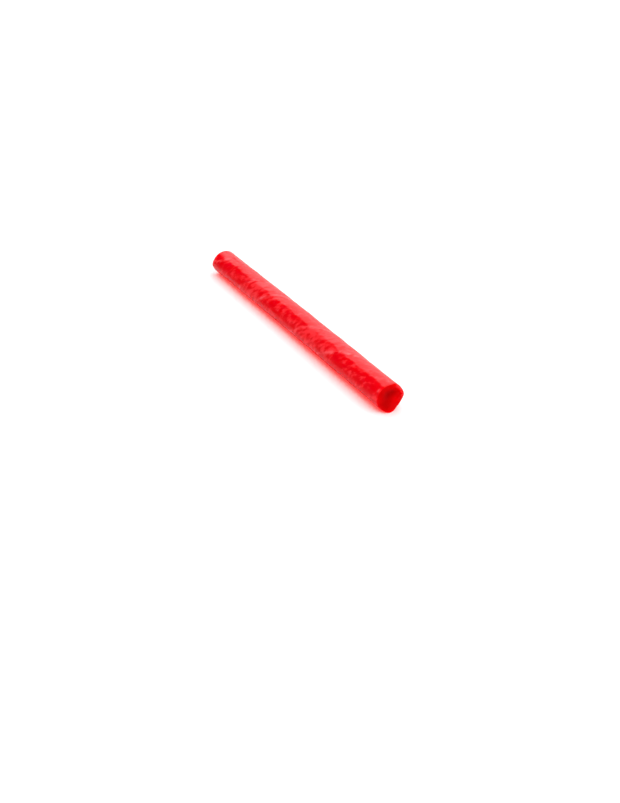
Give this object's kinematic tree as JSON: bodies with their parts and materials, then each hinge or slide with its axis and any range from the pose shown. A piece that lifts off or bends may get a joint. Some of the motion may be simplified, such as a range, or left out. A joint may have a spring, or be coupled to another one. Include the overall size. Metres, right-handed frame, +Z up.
{
  "type": "stick candy",
  "caption": "Slender round stick of red pulled hard candy, lying on its side, with a left-hand twist, two faint spiral seams and uneven cut ends.",
  "frame": {"origin": "on the surface the stick lies on, under the middle of its bounding box", "axes": "+X along the stick towards its hollowed end, +Z up, +Y to the left of +X"},
  "size_m": [0.1284, 0.01, 0.0097],
  "materials": {
    "hard_candy": "satin red boiled sugar, a little cloudy, glossier on the cut ends"
  },
  "bodies": {
    "root": {"candy_stick": "hard_candy"}
  },
  "joints": []
}
